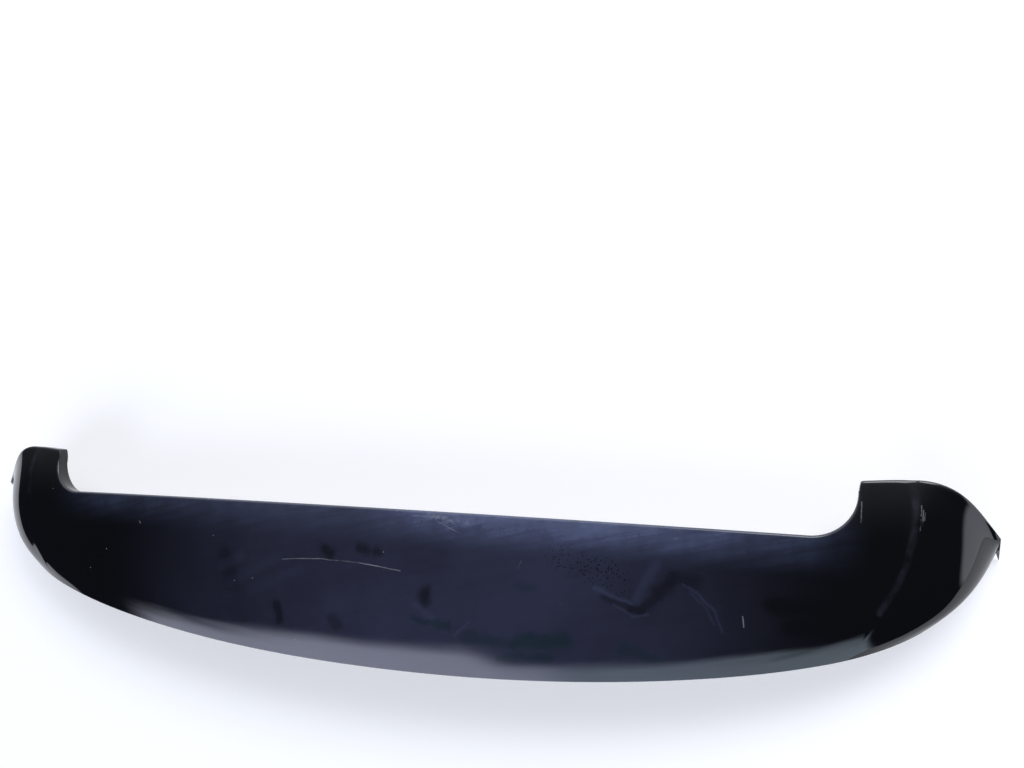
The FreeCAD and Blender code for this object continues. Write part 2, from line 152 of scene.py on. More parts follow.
@dataclass
class Section:
    """One flat cut through the wing, in millimetres, from its leading edge to its trailing edge."""

    lead: Array
    trail: Array
    end_share: float
    bow: float
    run: Array | None = None

    FULL_CHORD = 176.0
    CROWN = 6.0
    ROLL = 5.0
    ROLL_SHARE = 0.22
    ROLL_FADE = 5.0
    END_SWELL = 7.5
    SWELL_PEAK = 6.75
    END_RIM = 3.0
    RIM_POWER = 12
    RIM_PEAK = 34.0
    NOSE = 3.5
    NOSE_SHARE = 0.07
    FRONT_DEPTH = 11.0
    TIP_FRONT_DEPTH = 6.0
    WALL_POLE = 0.8
    BELLY = 12.0
    TIP_FULLNESS = 0.25
    EDGE = 3.0
    SKIN_ROWS = (0.1, 0.22, 0.38, 0.54, 0.68, 0.78, 0.86, 0.92, 0.96)
    UNDERSIDE_ROWS = (0.0, 0.1, 0.25, 0.4, 0.55, 0.7, 0.82, 0.92, 1.0)

    @property
    def chord(self) -> float:
        """Length from edge to edge."""
        return float(np.linalg.norm(self.trail - self.lead))

    @property
    def front_depth(self) -> float:
        """Height of the front wall."""
        return blend(self.FRONT_DEPTH, self.TIP_FRONT_DEPTH, self.end_share)

    @property
    def end_bulge(self) -> float:
        """Share that rises to 1 halfway along the end and falls to 0 at the shoulder and the tip."""
        return 4 * self.end_share * (1 - self.end_share)

    def height(self, share: float) -> float:
        """Height of the painted face over the chord line: crown, swollen end and roll at the trailing edge."""
        scale = self.chord / self.FULL_CHORD
        crown = self.CROWN * scale * 4 * share * (1 - share)
        swell = self.END_SWELL * self.end_bulge * self.SWELL_PEAK * share ** 2 * (1 - share)
        roll = self.ROLL * scale * max(0.0, 1 - self.ROLL_FADE * self.end_share) ** 2
        into_roll = max(0.0, (share - 1) / self.ROLL_SHARE + 1)
        return crown + swell + roll * (share - into_roll ** 2)

    def rim(self, share: float) -> float:
        """Extra height of the painted face just before the trailing edge of the end."""
        return self.END_RIM * self.end_bulge * self.RIM_PEAK * share ** self.RIM_POWER * (1 - share)

    def depth(self, share: float) -> float:
        """Thickness of the wing below the painted face."""
        fullness = blend(1.0, self.TIP_FULLNESS, self.end_share)
        return blend(self.front_depth, self.EDGE, share) + 4 * self.BELLY * fullness * share * (1 - share)

    def point(self, along: float, above: float) -> Array:
        """Point at a length along the chord and a height over it."""
        back = (self.trail - self.lead) / self.chord
        out = np.cross(back, self.run)
        share = along / self.chord
        bow = np.array((self.bow * 4 * share * (1 - share), 0, 0))
        return self.lead + back * along + out / np.linalg.norm(out) * above + bow

    def skin(self) -> list[Array]:
        """Poles of the front wall, the rounded nose and the painted face."""
        nose = min(self.NOSE, self.NOSE_SHARE * self.chord)
        depths = (-self.front_depth, -self.WALL_POLE * self.front_depth, -nose, 0.0)
        wall = [self.point(0, depth) for depth in depths]
        shares = (nose / self.chord, *self.SKIN_ROWS)
        top = [self.point(share * self.chord, self.height(share) + self.rim(share)) for share in shares]
        return wall + top + [self.trail]

    def underside(self) -> list[Array]:
        """Poles of the lower face."""
        return [self.point(row * self.chord, self.height(row) - self.depth(row)) for row in self.UNDERSIDE_ROWS]


class Sheet:
    """Smooth surface over a net of poles, with both parameters counted in poles."""

    STEP = 1e-3
    ROUNDS = 40
    END_GAP = 0.01

    def __init__(self, poles: Array) -> None:
        """Keep the net."""
        self.poles = poles
        self.across, self.along = poles.shape[0] - 3, poles.shape[1] - 3

    @staticmethod
    def weights(count: int, places: Array) -> Array:
        """Share that each of a row's poles has in points at the given places."""
        knots = np.concatenate([np.zeros(3), np.arange(count - 2), np.full(3, count - 3)])
        places = np.clip(places, 0, count - 3 - 1e-9)[:, None]
        shares = ((knots[:-1] <= places) & (places < knots[1:])).astype(float)
        for degree in (1, 2, 3):
            rise = knots[degree:-1] - knots[:-degree - 1]
            fall = knots[degree + 1:] - knots[1:-degree]
            shape = (len(places), len(rise))
            up = np.divide(places - knots[:-degree - 1], rise, where=rise > 0, out=np.zeros(shape))
            down = np.divide(knots[degree + 1:] - places, fall, where=fall > 0, out=np.zeros(shape))
            shares = up * shares[:, :-1] + down * shares[:, 1:]
        return shares

    def points(self, across: Array, along: Array) -> Array:
        """Points of the surface at paired parameters of any shape."""
        across, along = np.broadcast_arrays(np.asarray(across, float), np.asarray(along, float))
        first = self.weights(self.poles.shape[0], across.ravel())
        second = self.weights(self.poles.shape[1], along.ravel())
        return np.einsum("ia,ib,abk->ik", first, second, self.poles).reshape(*across.shape, 3)

    def normals(self, across: Array, along: Array) -> Array:
        """Upward unit normals at paired parameters."""
        run = self.points(across + self.STEP, along) - self.points(across - self.STEP, along)
        back = self.points(across, along + self.STEP) - self.points(across, along - self.STEP)
        out = np.cross(back, run)
        return out / np.linalg.norm(out, axis=-1, keepdims=True)

    def under(self, plan: Array, start: tuple[float, float]) -> tuple[Array, Array]:
        """Parameters of the points that stand over or under places of the plan.

        Args:
            plan: Places as rows of x and y.
            start: Parameters to begin the search from.

        Returns:
            The two parameters of each place.
        """
        across, along = np.full(len(plan), start[0], float), np.full(len(plan), start[1], float)
        for _ in range(self.ROUNDS):
            here = self.points(across, along)[:, :2]
            by_across = (self.points(across + self.STEP, along)[:, :2] - here) / self.STEP
            by_along = (self.points(across, along + self.STEP)[:, :2] - here) / self.STEP
            miss = plan - here
            area = by_across[:, 0] * by_along[:, 1] - by_across[:, 1] * by_along[:, 0]
            move_across = (miss[:, 0] * by_along[:, 1] - miss[:, 1] * by_along[:, 0]) / area
            move_along = (by_across[:, 0] * miss[:, 1] - by_across[:, 1] * miss[:, 0]) / area
            across = np.clip(across + np.clip(move_across, -2, 2), 0, self.across - self.END_GAP)
            along = np.clip(along + np.clip(move_along, -1, 1), 0, self.along - self.END_GAP)
        return across, along


@dataclass(frozen=True)
class WingForm:
    """Rails and sections of the wing, in millimetres."""

    half_span: float = 578.0
    arm_width: float = 117.0
    shoulder_share: float = 0.385
    middle: tuple[float, float, float] = (0.0, 70.0, 33.0)
    shoulder_bow: float = 14.0
    shoulder_step: float = 5.0
    trail_share: float = 0.78
    wing_shares: tuple[float, ...] = (0.0, 0.16, 0.32, 0.48, 0.64, 0.78, 0.88, 0.95, 0.98, 1.0)
    end_shares: tuple[float, ...] = (0.0, 0.04, 0.1, 0.2, 0.34, 0.5, 0.66, 0.82, 0.93, 1.0)

    @property
    def shoulder_x(self) -> float:
        """Place of the shoulder line on the leading edge."""
        return self.half_span - (1 - self.shoulder_share) * self.arm_width

    def rail(self, poles: list[tuple[float, float, float]]) -> list[tuple[float, float, float]]:
        """Shift poles that are given from the middle of the leading edge."""
        return [tuple(np.add(self.middle, pole)) for pole in poles]

    def rails(self) -> tuple[list, list, list]:
        """Leading edge of the wing, leading edge of its end, and trailing edge, of the right half."""
        line_x, span = self.shoulder_x, self.half_span
        start_x = line_x + self.shoulder_step
        wing = self.rail([(0, 0, 0), (0.45 * line_x, 0, 0), (0.917 * line_x, 36.4, -11.0),
                          (line_x, 36.4, -22.0)])
        end = self.rail([(start_x, 36.4, -20.4), (blend(start_x, span, 0.52), 35.308, -22.08),
                         (blend(start_x, span, 0.70), 20.02, -40.88), (span, -6.0, -56.0)])
        trail = self.rail([(0, -176.0, -21.0), (0.26 * span, -176.0, -21.0), (0.52 * span, -167.904, -26.6),
                           (0.885 * span, -124.96, -32.2), (0.91 * span, -104.192, -62.16),
                           (span, -14.08, -77.0)])
        return wing, end, trail

    def sections(self) -> list[Section]:
        """Stand sections along the right half."""
        wing, end, trail = self.rails()
        trail_x = self.trail_share * self.half_span
        turn_in = share_at_x(trail, trail_x)
        cuts = []
        for share in self.wing_shares:
            lead = bezier(wing, share_at_x(wing, share * self.shoulder_x))
            rear = bezier(trail, share_at_x(trail, share * trail_x))
            cuts.append(Section(lead, rear, 0.0, self.shoulder_bow * share ** 4))
        for share in self.end_shares:
            bow = self.shoulder_bow * max(0.0, 1 - 2 * share) ** 2
            cuts.append(Section(bezier(end, share), bezier(trail, blend(turn_in, 1.0, share)), share, bow))
        middles = [(cut.lead + cut.trail) / 2 for cut in cuts]
        for index, cut in enumerate(cuts):
            cut.run = middles[min(index + 1, len(cuts) - 1)] - middles[max(index - 1, 0)]
        cuts[0].run = np.array((1.0, 0.0, 0.0))
        return cuts

    def sheets(self) -> tuple[Sheet, Sheet]:
        """Painted sheet and lower sheet of the whole wing."""
        cuts = self.sections()
        flip = np.array((-1.0, 1.0, 1.0))
        made = []
        for rows in ([cut.skin() for cut in cuts], [cut.underside() for cut in cuts]):
            right = np.array(rows)
            made.append(Sheet(np.concatenate([right[:0:-1] * flip, right])))
        return made[0], made[1]


@dataclass
class UpperShell:
    """Painted shell, in millimetres: closed loops from tip to tip, hollow, with the recess between the arms."""

    form: WingForm
    recess_y: float = 52.0
    corner_radius: float = 42.0
    edge_radius: float = 3.0
    wall: float = 2.8
    lip: float = 10.0
    nose_place: float = 4.0
    hollow_end: float = 35.0
    tip_lean: tuple[float, float, float] = (4.0, -13.0, -17.0)
    tip_scale: float = 0.12
    fan_share: float = 0.14
    turn_power: int = 3
    edge_parts: tuple[float, ...] = (0.12, 0.5, 0.88)
    edge_round: float = 0.1
    lip_reach: float = 0.72
    lip_most: float = 0.4
    wall_parts: tuple[float, ...] = (0.0, 0.3, 0.7)
    foot_width: float = 10.0
    least_chord: float = 20.0
    top_start: tuple[float, float] = (22.0, 5.0)
    foot_start: tuple[float, float] = (22.0, 1.0)
    weld: float = 2e-6
    mirror_weld: float = 1e-5
    sharp_angle: float = 38.0
    back_columns: int = 46
    arc_columns: int = 18
    wall_columns: int = 4
    corner_columns: int = 5
    arm_columns: int = 60
    front_rows: int = 14
    top_rows: int = 64
    roof_rows: int = 10

    def recess_line(self) -> tuple[Array, Array]:
        """Places of the plan where the painted face starts to round over, and ways from there to the recess.

        Returns:
            Rows of x and y, and rows of unit vectors.
        """
        half = self.form.half_span - self.form.arm_width
        centre = np.array((half - self.corner_radius, self.recess_y + self.corner_radius))
        radius = self.corner_radius + self.edge_radius
        across = np.linspace(0, centre[0], self.back_columns)[:-1]
        back = np.stack([across, np.full_like(across, centre[1] - radius)], axis=1)
        angles = np.linspace(-math.pi / 2, 0, self.arc_columns)
        ways = -np.stack([np.cos(angles), np.sin(angles)], axis=1)
        arc = centre - radius * ways
        ahead = np.linspace(centre[1], self.nose_y(centre[0] + radius), self.wall_columns + 1)[1:]
        side = np.stack([np.full_like(ahead, centre[0] + radius), ahead], axis=1)
        line = np.concatenate([back, arc, side])
        toward = np.concatenate([np.tile((0.0, 1.0), (len(back), 1)), ways,
                                 np.tile((-1.0, 0.0), (len(side), 1))])
        return line, toward

    def nose_y(self, x: float) -> float:
        """Place where the nose ends on the arm at a given x."""
        skin, _ = self.form.sheets()
        across = np.linspace(skin.across / 2, skin.across, 2000)
        points = skin.points(across, np.full_like(across, self.nose_place))
        return float(np.interp(x, points[:, 0], points[:, 1]))

    def loops(self) -> Array:
        """Work out the closed loops of the right half, from the middle to the tip.

        Returns:
            Points by column, row and axis, in millimetres.
        """
        skin, under = self.form.sheets()
        line, toward = self.recess_line()
        first, along = skin.under(line, self.top_start)
        corner = self.corner_columns
        arm = np.linspace(first[-1], skin.across, self.arm_columns)
        front_across = np.concatenate([first, np.full(corner, first[-1]), arm])
        front_along = np.concatenate([along, np.full(corner, along[-1]), np.full(len(arm), self.nose_place)])
        fan = len(line) - (self.back_columns - 1) + corner
        fan_end = blend(first[-1], skin.across, self.fan_share)
        rear_across = np.concatenate([
            first[:self.back_columns - 1],
            np.linspace(first[self.back_columns - 1], fan_end, fan + 1)[:-1],
            np.linspace(fan_end, skin.across, len(arm)),
        ])
        share = np.linspace(0, 1, self.top_rows)
        turn = 1 - (1 - share) ** self.turn_power
        across = blend(front_across[:, None], rear_across[:, None], turn)
        places = blend(front_along[:, None], float(skin.along), share)
        top = skin.points(across, places)
        front, rim = self.fronts(skin, under, line, toward, first, along, arm)
        rear_low = under.points(rear_across, np.full(len(rear_across), float(under.along)))
        lip_share = self.lip / np.linalg.norm(top[:, -1] - top[:, 0], axis=1)
        lip_place = 1 - self.lip_reach * np.clip(lip_share, 0, self.lip_most)
        lip_low = under.points(rear_across, under.along * lip_place)
        inner = self.roof(skin, across, places, front_across, lip_low, rim)
        edge = np.stack([blend(top[:, -1], rear_low, part) for part in self.edge_parts], axis=1)
        edge[:, 1] += (top[:, -1] - top[:, -2]) * self.edge_round
        return np.concatenate([rim[:, None], front, top, edge, rear_low[:, None], lip_low[:, None], inner,
                               rim[:, None]], axis=1)

    def fronts(self, skin: Sheet, under: Sheet, line: Array, toward: Array, first: Array, along: Array,
               arm: Array) -> tuple[Array, Array]:
        """Work out the front walls, with the rounding at their top, and the inner rim of their feet.

        Args:
            skin: Painted sheet.
            under: Lower sheet.
            line: Places where the face starts to round over.
            toward: Ways from there to the recess.
            first: Parameters of those places across the wing.
            along: Parameters of those places along the chord.
            arm: Parameters of the arm's columns across the wing.

        Returns:
            Rows of each front from its foot upwards, and the rim's points.
        """
        tops = skin.points(first, along)
        normals = skin.normals(first, along)
        slope = -np.einsum("ij,ij->i", normals[:, :2], toward) / normals[:, 2]
        feet_plan = line + toward * self.edge_radius
        feet = under.points(*under.under(feet_plan, self.foot_start))
        rims = under.points(*under.under(line, self.foot_start))
        angles = np.linspace(math.pi / 2, 0, self.front_rows - 2)[:-1]
        out = np.sin(angles) * self.edge_radius
        fall = (1 - np.cos(angles)) * self.edge_radius
        rounded = np.repeat(tops[:, None], len(angles), axis=1)
        rounded[:, :, :2] += toward[:, None] * out[None, :, None]
        rounded[:, :, 2] += slope[:, None] * out - fall
        walls = [blend(feet, rounded[:, 0], part)[:, None] for part in self.wall_parts]
        recess = np.concatenate(walls + [rounded], axis=1)
        rows = np.linspace(0, self.nose_place, recess.shape[1] + 1)[:-1]
        noses = skin.points(arm[:, None], rows[None, :])
        rears = skin.points(arm, np.full(len(arm), float(skin.along)))
        chords = np.linalg.norm(noses[:, -1] - rears, axis=1)
        nose_rims = under.points(arm, self.foot_width / np.maximum(chords, self.least_chord))
        turn = np.linspace(0, math.pi / 2, self.corner_columns + 1)[:-1]
        start, end = recess[-1] - tops[-1], noses[0] - tops[-1]
        corner = np.zeros((self.corner_columns, recess.shape[1], 3))
        corner[:, :, 0] = tops[-1][0] + np.cos(turn)[:, None] * start[:, 0]
        corner[:, :, 1] = tops[-1][1] + np.sin(turn)[:, None] * end[:, 1]
        heights = np.cos(turn)[:, None] ** 2 * start[:, 2] + np.sin(turn)[:, None] ** 2 * end[:, 2]
        corner[:, :, 2] = tops[-1][2] + heights
        front = np.concatenate([recess, corner, noses])
        rim = np.concatenate([rims, np.repeat(rims[-1:], self.corner_columns, axis=0), nose_rims])
        return front, rim

    def roof(self, skin: Sheet, across: Array, places: Array, front_across: Array, lip_low: Array,
             rim: Array) -> Array:
        """Work out the inner side of each loop, which lies on the lower sheet where the tip is solid."""
        picks = np.linspace(places.shape[1] - 6, 1, self.roof_rows).astype(int)
        inner = skin.points(across[:, picks], places[:, picks])
        inner -= skin.normals(across[:, picks], places[:, picks]) * self.wall
        solid = front_across > self.hollow_end
        shares = np.linspace(0, 1, self.roof_rows + 2)[1:-1]
        straight = blend(lip_low[:, None], rim[:, None], shares[None, :, None])
        inner[solid] = straight[solid]
        return inner

    def mesh(self) -> bpy.types.Mesh:
        """Wrap a grid round the loops, mirror it and draw each end out to its point."""
        loops = self.loops() * MM
        columns, rows = loops.shape[:2]
        bm = bmesh.new()
        bmesh.ops.create_grid(bm, x_segments=columns - 1, y_segments=rows - 1, size=1.0)
        for vert in bm.verts:
            column = round((vert.co.x + 1) / 2 * (columns - 1))
            row = round((vert.co.y + 1) / 2 * (rows - 1))
            vert.co = loops[column, row]
        bmesh.ops.remove_doubles(bm, verts=bm.verts, dist=self.weld)
        self.draw_tip(bm)
        geometry = bm.verts[:] + bm.edges[:] + bm.faces[:]
        bmesh.ops.mirror(bm, geom=geometry, axis="X", merge_dist=self.mirror_weld)
        bmesh.ops.recalc_face_normals(bm, faces=bm.faces)
        mesh = bpy.data.meshes.new("painted_shell")
        bm.to_mesh(mesh)
        bm.free()
        mesh.shade_smooth()
        mesh.set_sharp_from_angle(angle=math.radians(self.sharp_angle))
        return mesh

    def draw_tip(self, bm: bmesh.types.BMesh) -> None:
        """Close the right end and draw it out to a leaning point."""
        outer_x = self.form.half_span * MM / 2
        rim = [edge for edge in bm.edges if edge.is_boundary and edge.verts[0].co.x > outer_x]
        face = bmesh.ops.holes_fill(bm, edges=rim)["faces"][0]
        middle = face.calc_center_bounds()
        moved = bmesh.ops.extrude_face_region(bm, geom=[face])["geom"]
        verts = [item for item in moved if isinstance(item, bmesh.types.BMVert)]
        bmesh.ops.delete(bm, geom=[face], context="FACES_ONLY")
        bmesh.ops.scale(bm, verts=verts, vec=Vector((1, 1, 1)) * self.tip_scale,
                        space=Matrix.Translation(-middle))
        bmesh.ops.translate(bm, verts=verts, vec=Vector(self.tip_lean) * MM)

    def build(self, paint: bpy.types.Material) -> None:
        """Make the shell and put it in the place of its solid."""
        shell = bpy.data.objects.new("painted_shell", self.mesh())
        bpy.context.scene.collection.objects.link(shell)
        shell.data.materials.append(paint)
        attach(shell, "root")
        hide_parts("upper_shell")
        log.info("painted_shell: %d faces", len(shell.data.polygons))


@dataclass(frozen=True)
class Stroke:
    """Straight mark on the paint, seen from above, in millimetres."""

    start: tuple[float, float]
    end: tuple[float, float]
    width: float
    strength: float


class Mark(Enum):
    """Marks on the paint: dirt and wear by what made them, and painted light at the shoulder crease and at the
    mirrored band's edge.
    """

    SCRATCH = (
        Stroke((-107.3, -8.1), (-84.0, -5.6), 0.7, 0.3),
        Stroke((-84.0, -5.6), (-62.0, -4.5), 0.8, 0.4),
        Stroke((-62.0, -4.5), (-18.0, -5.0), 0.7, 0.3),
        Stroke((-18.0, -5.0), (8.0, -7.2), 0.9, 0.42),
        Stroke((8.0, -7.2), (32.4, -9.9), 0.8, 0.3),
        Stroke((64.5, 42.8), (93.0, 31.6), 0.6, 0.25),
        Stroke((40.0, 46.0), (72.0, 45.0), 0.7, 0.25),
        Stroke((158.5, 9.0), (156.0, 2.0), 0.8, 0.3),
        Stroke((364.4, -23.0), (365.4, -32.0), 0.9, 0.4),
        Stroke((511.8, 84.0), (511.2, 75.0), 0.7, 0.45),
        Stroke((513.0, 80.0), (512.2, 67.0), 0.8, 0.55),
        Stroke((514.4, 78.0), (513.8, 71.0), 0.6, 0.35),
        Stroke((511.0, 72.0), (510.4, 63.0), 0.7, 0.45),
        Stroke((463.6, 84.0), (462.6, 66.0), 0.7, 0.4),
        Stroke((-309.0, 21.0), (-307.0, 19.0), 0.9, 0.35),
    )
    WIPE = (
        Stroke((-56.6, 6.7), (-47.7, 3.2), 10.0, 0.8),
        Stroke((-15.6, 9.5), (-8.0, 8.0), 8.0, 0.7),
        Stroke((2.0, 8.0), (5.5, 6.9), 8.0, 0.7),
        Stroke((61.7, -26.0), (62.5, -34.0), 11.0, 0.8),
        Stroke((-108.0, -56.0), (-103.0, -68.0), 10.0, 0.8),
        Stroke((-38.0, -64.0), (-34.0, -67.0), 10.0, 0.5),
        Stroke((-180.0, -10.0), (-168.0, -34.0), 16.0, 0.5),
        Stroke((392.0, -12.0), (462.0, -13.0), 14.0, 1.0),
        Stroke((404.0, -28.0), (440.0, -26.0), 13.0, 1.0),
        Stroke((240.0, -16.0), (264.0, -27.0), 5.0, 0.5),
        Stroke((264.0, -27.0), (276.0, -27.0), 7.0, 0.75),
        Stroke((276.0, -27.0), (290.0, -10.0), 8.0, 0.65),
        Stroke((290.0, -10.0), (304.0, 6.0), 11.0, 0.75),
        Stroke((304.0, 6.0), (322.0, 2.0), 12.0, 0.6),
    )
    SMEAR = (
        Stroke((232.0, -9.0), (248.0, -15.0), 4.0, 0.6),
        Stroke((248.0, -15.0), (266.0, -21.5), 2.5, 0.6),
        Stroke((250.0, -23.0), (268.0, -32.5), 2.0, 0.5),
        Stroke((268.0, -32.5), (281.0, -29.5), 2.0, 0.6),
        Stroke((270.0, -17.0), (279.0, 2.0), 7.0, 0.38),
        Stroke((279.0, 2.0), (287.0, 14.0), 8.0, 0.38),
        Stroke((312.0, -0.3), (327.3, -7.7), 2.2, 0.5),
        Stroke((327.3, -7.7), (340.7, -21.3), 2.2, 0.55),
        Stroke((340.7, -21.3), (347.0, -37.8), 2.2, 0.45),
        Stroke((318.0, -6.0), (331.0, -16.0), 2.0, 0.35),
        Stroke((331.0, -16.0), (340.0, -32.0), 2.0, 0.35),
        Stroke((-170.0, -37.0), (-114.0, -6.5), 9.0, 0.18),
        Stroke((-143.0, -43.0), (-84.0, -16.0), 10.0, 0.15),
        Stroke((-183.0, -20.0), (-160.0, -8.0), 9.0, 0.22),
        Stroke((52.0, -40.0), (72.0, -52.0), 6.0, 0.35),
        Stroke((96.0, -66.0), (110.0, -52.0), 2.5, 0.4),
    )
    # Painted shade: darker tongues along the upper edge of the mirrored band near the trailing edge
    TONGUE = (
        Stroke((52.0, -55.0), (88.0, -56.0), 6.0, 0.8),
        Stroke((110.0, -66.0), (160.0, -66.0), 8.0, 0.7),
        Stroke((160.0, -66.0), (206.0, -60.0), 12.0, 1.0),
        Stroke((142.0, -79.0), (190.0, -76.0), 7.0, 0.8),
        Stroke((262.0, -62.0), (286.0, -66.0), 8.0, 0.7),
        Stroke((160.0, -14.0), (170.0, -16.0), 8.0, 0.5),
    )
    SCUFF = (
        Stroke((58.0, 46.5), (84.0, 45.0), 6.0, 0.28),
        Stroke((84.0, 45.0), (104.0, 44.0), 5.0, 0.16),
    )
    # Painted highlight along the shoulder crease, standing in for light mirrored off the step
    CREASE = (
        Stroke((505.0, 103.0), (507.6, 84.0), 5.0, 0.9),
        Stroke((507.6, 84.0), (508.0, 68.0), 5.0, 0.85),
        Stroke((508.0, 68.0), (503.4, 49.9), 4.8, 0.75),
        Stroke((503.4, 49.9), (498.0, 30.0), 4.4, 0.65),
        Stroke((498.0, 30.0), (489.6, 11.1), 4.0, 0.7),
        Stroke((489.6, 11.1), (477.0, -9.5), 4.0, 0.75),
        Stroke((-505.0, 103.0), (-507.6, 84.0), 5.0, 0.9),
        Stroke((-507.6, 84.0), (-508.0, 68.0), 5.0, 0.75),
        Stroke((-508.0, 68.0), (-503.4, 49.9), 4.6, 0.5),
    )


SWAY = {Mark.WIPE: 0.012, Mark.SMEAR: 0.005, Mark.TONGUE: 0.02, Mark.SCUFF: 0.008, Mark.SCRATCH: 0.0015}


@dataclass(frozen=True)
class GlossPaint:
    """Gloss black paint with a film of dust, wiped patches, smears, scratches and specks, and painted light: a
    sheen behind the recess, a highlight along the shoulder crease and shade tongues at the mirrored band.
    """

    colour: Colour = (0.0036, 0.0038, 0.0045, 1.0)
    dusty: Colour = (0.0252, 0.0268, 0.0475, 1.0)
    # haze_and_sheen: pale blue for the dust and the painted sheen of reflection behind the recess, and for the
    # smears
    haze_and_sheen: Colour = (0.085, 0.104, 0.19, 1.0)
    # band_edge_shade: darker colour of the painted shade tongues
    band_edge_shade: Colour = (0.009, 0.019, 0.026, 1.0)
    # crease_glint: colour of the painted highlight along the shoulder crease
    crease_glint: Colour = (0.1, 0.104, 0.14, 1.0)
    scored: Colour = (0.42, 0.42, 0.43, 1.0)
    speck: Colour = (0.5, 0.5, 0.5, 1.0)
    wiped_share: float = 0.8
    band_edge_shade_share: float = 0.75
    smear_share: float = 0.2
    crease_glint_share: float = 0.17
    scuff_share: float = 0.75
    scratch_share: float = 0.8
    roughness: float = 0.045
    haze_and_sheen_roughness: float = 0.4
    film_roughness: float = 0.06
    mark_roughness: float = 0.4
    index: float = 1.52
    wait_share: float = 1e-9
    soft_edge: float = 0.15
    streak_angle: float = -14.0
    streak_stretch: tuple[float, float, float] = (11.0, 150.0, 1.0)

    def stroke_group(self) -> bpy.types.NodeTree:
        """Make the group that adds one stroke to a mask, each stroke after the one before it."""
        tree = bpy.data.node_groups.new("stroke", "ShaderNodeTree")
        for kind, names in (("Vector", ("Place", "Start", "Run")), ("Float", ("Width", "Strength", "Before"))):
            for name in names:
                tree.interface.new_socket(name, in_out="INPUT", socket_type="NodeSocket" + kind)
        tree.interface.new_socket("Mask", in_out="OUTPUT", socket_type="NodeSocketFloat")
        nodes = Nodes(tree)
        given = tree.nodes.new("NodeGroupInput").outputs
        run = given["Run"]
        wait = nodes.math("MULTIPLY", given["Before"], self.wait_share)
        place = nodes.vector("ADD", given["Place"], wait)[0]
        away = nodes.vector("SUBTRACT", place, given["Start"])[0]
        along = nodes.vector("DOT_PRODUCT", away, run)["Value"]
        whole = nodes.vector("DOT_PRODUCT", run, run)["Value"]
        share = nodes.math("DIVIDE", along, whole, clamp=True)
        foot = nodes.add("VectorMath", {0: run, "Scale": share}, operation="SCALE").outputs[0]
        gap = nodes.vector("DISTANCE", away, foot)["Value"]
        near = nodes.math("DIVIDE", gap, given["Width"])
        mask = nodes.math("MULTIPLY", nodes.ease(near, 1.0, self.soft_edge), given["Strength"])
        out = tree.nodes.new("NodeGroupOutput")
        tree.links.new(nodes.math("MAXIMUM", given["Before"], mask), out.inputs[0])
        return tree

    def marks(self, nodes: Nodes, group: bpy.types.NodeTree, flat: Socket, mark: Mark) -> Socket:
        """Join all the strokes of one kind into a mask.

        Args:
            nodes: Tree to add to.
            group: Group that adds one stroke.
            flat: Place on the paint, seen from above.
            mark: Kind of mark.

        Returns:
            The mask.
        """
        place = self.swayed(nodes, flat, SWAY[mark]) if mark in SWAY else flat
        mask: Socket = None
        for stroke in mark.value:
            node = nodes.add("Group", node_tree=group)
            nodes.tree.links.new(place, node.inputs["Place"])
            node.inputs["Start"].default_value = (stroke.start[0] * MM, stroke.start[1] * MM, 0)
            run = [(end - start) * MM for start, end in zip(stroke.start, stroke.end)]
            node.inputs["Run"].default_value = (*run, 0)
            node.inputs["Width"].default_value = stroke.width * MM
            node.inputs["Strength"].default_value = stroke.strength
            if mask is not None:
                nodes.tree.links.new(mask, node.inputs["Before"])
            mask = node.outputs[0]
        return mask

    def material(self) -> bpy.types.Material:
        """Make the paint's material."""
        paint = bpy.data.materials.new("gloss_black_paint")
        paint.use_nodes = True
        nodes = Nodes(paint.node_tree)
        place = nodes.add("TexCoord").outputs["Object"]
        x, y, _ = nodes.add("SeparateXYZ", {0: place}).outputs
        flat = nodes.vector("MULTIPLY", place, (1, 1, 0))[0]
        group = self.stroke_group()
        cloud = nodes.noise(place, 9.0, 4.0, 0.55)[0]
        fine = nodes.noise(place, 260.0, 4.0, 0.7)[0]
        ragged = nodes.noise(flat, 42.0, 6.0, 0.65)[0]
        streaks = self.streaks(nodes, flat)
        wipe, smear, tongue, scuff, scratch, crease = (
            self.marks(nodes, group, flat, mark)
            for mark in (Mark.WIPE, Mark.SMEAR, Mark.TONGUE, Mark.SCUFF, Mark.SCRATCH, Mark.CREASE))
        scuff = nodes.product(scuff, nodes.ease(fine, 0.42, 0.66))
        scratch = nodes.product(scratch, nodes.ease(ragged, 0.3, 0.6))
        # Painted crease highlight, broken up by noise
        crease = nodes.product(crease, nodes.ease(ragged, 0.3, 0.72))
        film = self.film(nodes, x, cloud, streaks)
        left = nodes.math("SUBTRACT", 1.0, nodes.product(wipe, self.wiped_share))
        film = nodes.product(film, left, self.droplets(nodes, flat, x, y))
        # Front dust with a painted sheen of reflection, kept to faces that look upwards
        upward = nodes.add("SeparateXYZ", {0: nodes.add("NewGeometry").outputs["Normal"]}).outputs[2]
        haze_and_sheen = nodes.product(self.front_haze_and_sheen(nodes, x, y, ragged, streaks), nodes.ease(upward, 0.4, 0.8))
        colour = self.colour
